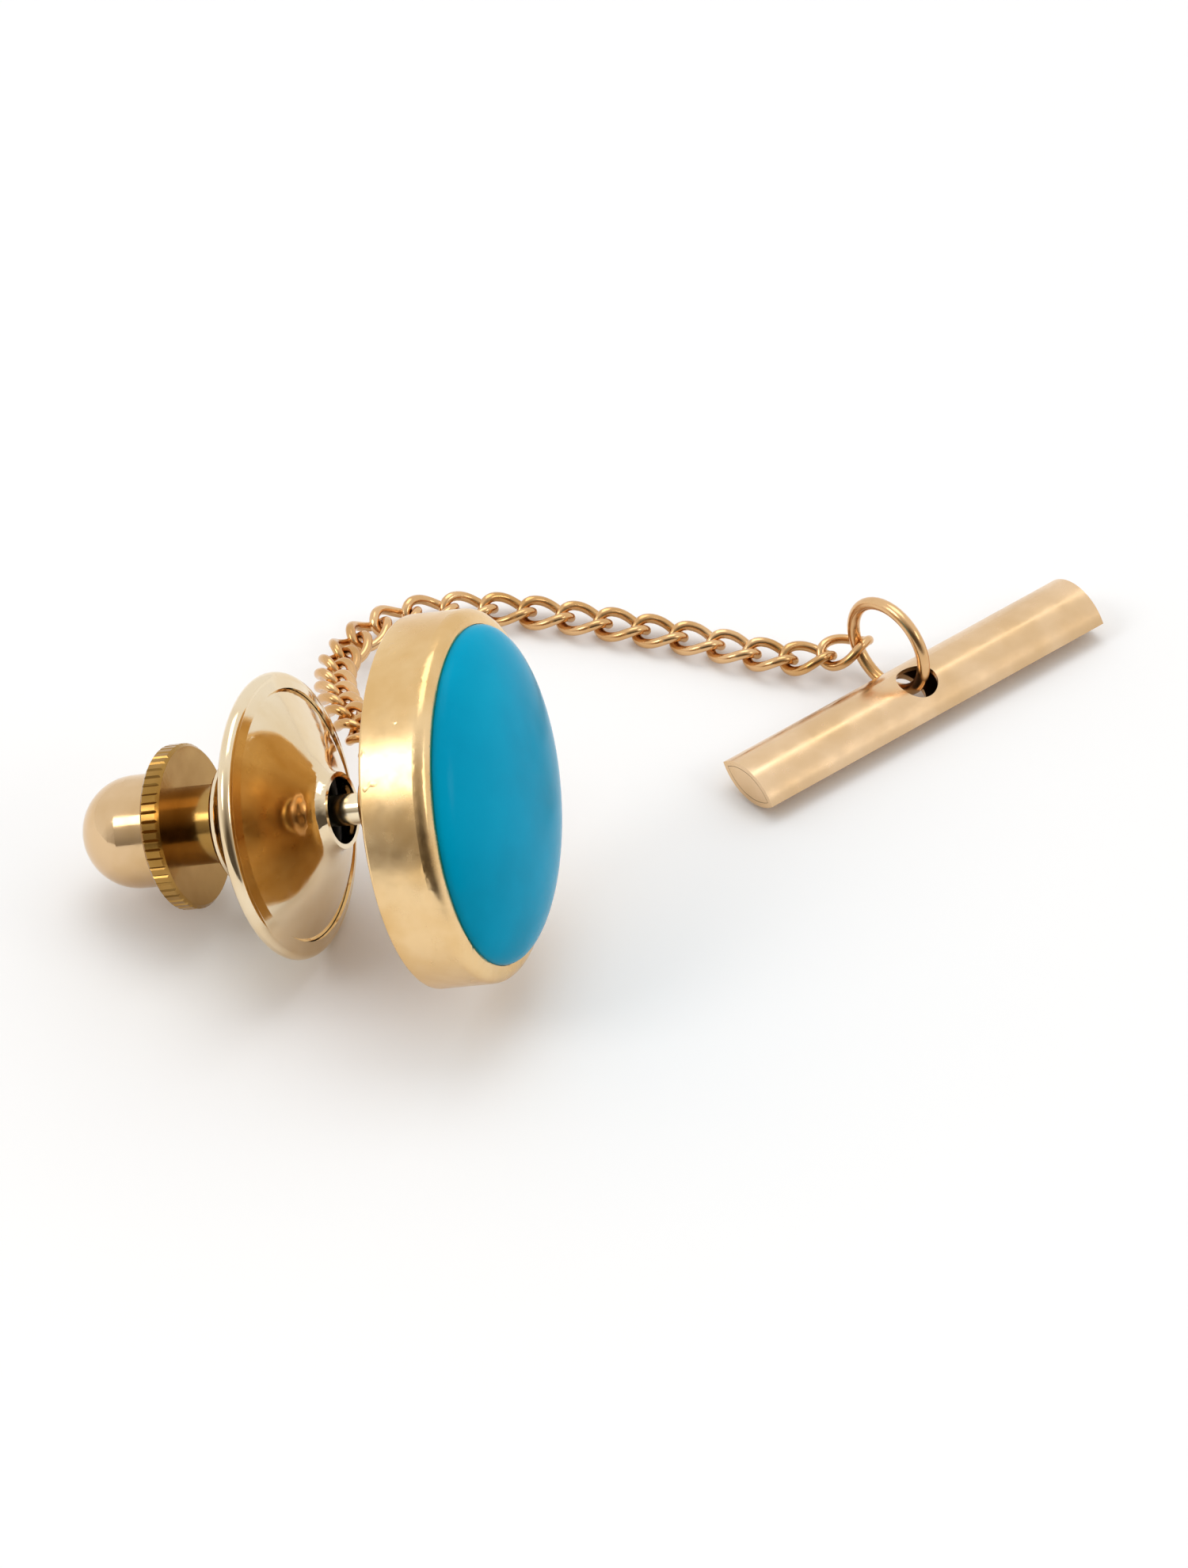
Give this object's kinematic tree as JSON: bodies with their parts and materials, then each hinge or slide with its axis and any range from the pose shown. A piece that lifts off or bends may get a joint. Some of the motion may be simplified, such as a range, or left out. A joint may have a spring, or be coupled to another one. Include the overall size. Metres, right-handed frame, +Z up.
{
  "type": "tie tack",
  "caption": "Tie tack with an oval turquoise cabochon in a gold-tone bezel, ball-lock clutch, curb safety chain and lens-section toggle bar.",
  "frame": {"origin": "bottom centre of the bounding box of the whole piece as it lies on a table", "axes": "+Z up off the table; +X from the clutch towards the toggle bar, along the piece's longest extent; +Y from the head towards the chain's bend"},
  "size_m": [0.0392, 0.0276, 0.0139],
  "materials": {
    "stone": "opaque, polished turquoise blue",
    "setting_gold": "satin gold plate, lightly worn",
    "post_metal": "polished gold plate",
    "clutch_gold": "mirror-polished gold plate",
    "chain_gold": "polished gold plate",
    "bar_gold": "polished gold plate with fine cross scratches",
    "inner_steel": "plain steel, hidden"
  },
  "bodies": {
    "head": {"turquoise_stone": "stone", "bezel_wall": "setting_gold", "back_plate": "setting_gold", "stone_bearing": "setting_gold", "pin_post": "post_metal", "post_pad": "setting_gold"},
    "clutch_core": {"race_cup": "inner_steel", "plunger_spring": "inner_steel"},
    "clutch_cover": {"front_shell": "clutch_gold", "rear_shell": "clutch_gold"},
    "plunger": {"grip_balls": "inner_steel", "plunger_sleeve": "clutch_gold", "spring_collar": "inner_steel", "knurled_flange": "clutch_gold", "ball_knob": "clutch_gold"},
    "post_ring": {"post_ring": "chain_gold"},
    "chain_link_01": {"chain_link_01": "chain_gold"},
    "chain_link_02": {"chain_link_02": "chain_gold"},
    "chain_link_03": {"chain_link_03": "chain_gold"},
    "chain_link_04": {"chain_link_04": "chain_gold"},
    "chain_link_05": {"chain_link_05": "chain_gold"},
    "chain_link_06": {"chain_link_06": "chain_gold"},
    "chain_link_07": {"chain_link_07": "chain_gold"},
    "chain_link_08": {"chain_link_08": "chain_gold"},
    "chain_link_09": {"chain_link_09": "chain_gold"},
    "chain_link_10": {"chain_link_10": "chain_gold"},
    "chain_link_11": {"chain_link_11": "chain_gold"},
    "chain_link_12": {"chain_link_12": "chain_gold"},
    "chain_link_13": {"chain_link_13": "chain_gold"},
    "chain_link_14": {"chain_link_14": "chain_gold"},
    "chain_link_15": {"chain_link_15": "chain_gold"},
    "chain_link_16": {"chain_link_16": "chain_gold"},
    "chain_link_17": {"chain_link_17": "chain_gold"},
    "chain_link_18": {"chain_link_18": "chain_gold"},
    "chain_link_19": {"chain_link_19": "chain_gold"},
    "chain_link_20": {"chain_link_20": "chain_gold"},
    "chain_link_21": {"chain_link_21": "chain_gold"},
    "chain_link_22": {"chain_link_22": "chain_gold"},
    "chain_link_23": {"chain_link_23": "chain_gold"},
    "chain_link_24": {"chain_link_24": "chain_gold"},
    "chain_link_25": {"chain_link_25": "chain_gold"},
    "jump_ring": {"jump_ring": "chain_gold"},
    "toggle_bar": {"bar_tube": "bar_gold", "near_end_cap": "bar_gold", "far_end_cap": "bar_gold"}
  },
  "joints": [
    {"name": "clutch_slide", "type": "slide", "parent": "head", "child": "clutch_core", "axis": [-0.9053, 0.2562, -0.3387], "range_m": [0, 0.01]},
    {"name": "cover_spin", "type": "hinge", "parent": "clutch_core", "child": "clutch_cover", "pos_m": [-0.01188, -0.00538, 0.00511], "axis": [0.9053, -0.2562, 0.3387], "continuous": true},
    {"name": "plunger_pull", "type": "slide", "parent": "clutch_core", "child": "plunger", "axis": [-0.9053, 0.2562, -0.3387], "range_m": [0, 0.001], "stiffness_N_per_m": 300, "springref_m": -0.001, "deforming": ["plunger_spring"]},
    {"name": "post_ring_turn", "type": "hinge", "parent": "head", "child": "post_ring", "pos_m": [-0.00831, -0.00639, 0.00645], "axis": [0.9053, -0.2562, 0.3387], "continuous": true},
    {"name": "chain_link_01_swing", "type": "hinge", "parent": "post_ring", "child": "chain_link_01", "pos_m": [-0.00787, -0.00502, 0.00631], "axis": [-0.2961, 0.191, 0.9359], "range_deg": [-14, 0]},
    {"name": "chain_link_02_swing", "type": "hinge", "parent": "chain_link_01", "child": "chain_link_02", "pos_m": [-0.00792, -0.00395, 0.00608], "axis": [-0.9707, -0.1577, 0.181], "range_deg": [-14, 4]},
    {"name": "chain_link_03_swing", "type": "hinge", "parent": "chain_link_02", "child": "chain_link_03", "pos_m": [-0.00832, -0.00207, 0.00557], "axis": [0.1309, 0.2845, 0.9497], "range_deg": [-14, 4]},
    {"name": "chain_link_04_swing", "type": "hinge", "parent": "chain_link_03", "child": "chain_link_04", "pos_m": [-0.00867, -0.0011, 0.00525], "axis": [0.8812, 0.1694, -0.4414], "range_deg": [-12, 14]},
    {"name": "chain_link_05_swing", "type": "hinge", "parent": "chain_link_04", "child": "chain_link_05", "pos_m": [-0.00933, 0.00065, 0.00459], "axis": [-0.333, -0.4405, -0.8337], "range_deg": [-14, 14]},
    {"name": "chain_link_06_swing", "type": "hinge", "parent": "chain_link_05", "child": "chain_link_06", "pos_m": [-0.00965, 0.0016, 0.0042], "axis": [-0.7485, 0.1069, 0.6544], "range_deg": [-14, 14]},
    {"name": "chain_link_07_swing", "type": "hinge", "parent": "chain_link_06", "child": "chain_link_07", "pos_m": [-0.01005, 0.00339, 0.00345], "axis": [0.6315, 0.4159, 0.6544], "range_deg": [-14, 14]},
    {"name": "chain_link_08_swing", "type": "hinge", "parent": "chain_link_07", "child": "chain_link_08", "pos_m": [-0.01018, 0.00437, 0.00303], "axis": [0.7234, -0.2212, -0.654], "range_deg": [-14, 14]},
    {"name": "chain_link_09_swing", "type": "hinge", "parent": "chain_link_08", "child": "chain_link_09", "pos_m": [-0.01031, 0.0062, 0.00228], "axis": [-0.6877, -0.3152, -0.654], "range_deg": [-14, 14]},
    {"name": "chain_link_10_swing", "type": "hinge", "parent": "chain_link_09", "child": "chain_link_10", "pos_m": [-0.0103, 0.00721, 0.00188], "axis": [-0.662, 0.3368, 0.6696], "range_deg": [-14, 14]},
    {"name": "chain_link_11_swing", "type": "hinge", "parent": "chain_link_10", "child": "chain_link_11", "pos_m": [-0.01, 0.00906, 0.00125], "axis": [0.7342, 0.1119, 0.6696], "range_deg": [-14, 14]},
    {"name": "chain_link_12_swing", "type": "hinge", "parent": "chain_link_11", "child": "chain_link_12", "pos_m": [-0.00964, 0.01005, 0.00099], "axis": [0.5179, -0.4951, -0.6976], "range_deg": [-14, 14]},
    {"name": "chain_link_13_swing", "type": "hinge", "parent": "chain_link_12", "child": "chain_link_13", "pos_m": [-0.00854, 0.01166, 0.00066], "axis": [-0.6488, 0.3041, -0.6976], "range_deg": [-14, 14]},
    {"name": "chain_link_14_swing", "type": "hinge", "parent": "chain_link_13", "child": "chain_link_14", "pos_m": [-0.00766, 0.0123, 0.00056], "axis": [-0.1386, 0.694, 0.7065], "range_deg": [-14, 14]},
    {"name": "chain_link_15_swing", "type": "hinge", "parent": "chain_link_14", "child": "chain_link_15", "pos_m": [-0.00574, 0.01277, 0.00048], "axis": [0.1965, -0.6799, 0.7065], "range_deg": [-14, 14]},
    {"name": "chain_link_16_swing", "type": "hinge", "parent": "chain_link_15", "child": "chain_link_16", "pos_m": [-0.00466, 0.01275, 0.00047], "axis": [-0.0877, -0.7016, -0.7071], "range_deg": [-14, 14]},
    {"name": "chain_link_17_swing", "type": "hinge", "parent": "chain_link_16", "child": "chain_link_17", "pos_m": [-0.00269, 0.01251, 0.00047], "axis": [0.0867, 0.7018, -0.7071], "range_deg": [-14, 14]},
    {"name": "chain_link_18_swing", "type": "hinge", "parent": "chain_link_17", "child": "chain_link_18", "pos_m": [-0.00164, 0.01227, 0.00047], "axis": [0.1768, 0.6847, 0.7071], "range_deg": [-14, 14]},
    {"name": "chain_link_19_swing", "type": "hinge", "parent": "chain_link_18", "child": "chain_link_19", "pos_m": [0.00028, 0.01178, 0.00047], "axis": [-0.1759, -0.6849, 0.7071], "range_deg": [-14, 14]},
    {"name": "chain_link_20_swing", "type": "hinge", "parent": "chain_link_19", "child": "chain_link_20", "pos_m": [0.00132, 0.01151, 0.00046], "axis": [-0.1982, -0.6788, -0.7071], "range_deg": [-14, 14]},
    {"name": "chain_link_21_swing", "type": "hinge", "parent": "chain_link_20", "child": "chain_link_21", "pos_m": [0.00323, 0.01096, 0.00045], "axis": [0.1909, 0.6809, -0.7071], "range_deg": [-14, 14]},
    {"name": "chain_link_22_swing", "type": "hinge", "parent": "chain_link_21", "child": "chain_link_22", "pos_m": [0.00425, 0.01061, 0.00045], "axis": [0.2559, 0.6588, 0.7074], "range_deg": [-14, 14]},
    {"name": "chain_link_23_swing", "type": "hinge", "parent": "chain_link_22", "child": "chain_link_23", "pos_m": [0.00607, 0.00984, 0.00052], "axis": [-0.2988, -0.6421, 0.706], "range_deg": [-14, 14]},
    {"name": "chain_link_24_swing", "type": "hinge", "parent": "chain_link_23", "child": "chain_link_24", "pos_m": [0.00706, 0.00941, 0.0006], "axis": [0.0603, -0.7152, -0.6963], "range_deg": [-14, 14]},
    {"name": "chain_link_25_swing", "type": "hinge", "parent": "chain_link_24", "child": "chain_link_25", "pos_m": [0.009, 0.00922, 0.00096], "axis": [0.1995, 0.6922, -0.6936], "range_deg": [-14, 14]},
    {"name": "jump_ring_swing", "type": "hinge", "parent": "chain_link_25", "child": "jump_ring", "pos_m": [0.01041, 0.00962, 0.00141], "axis": [0.0305, 0.735, -0.6774], "range_deg": [-8, 12]},
    {"name": "toggle_swing", "type": "hinge", "parent": "jump_ring", "child": "toggle_bar", "pos_m": [0.01113, 0.00832, 0.00215], "axis": [0.7071, 0.7071, 0], "range_deg": [-110, 30]}
  ]
}
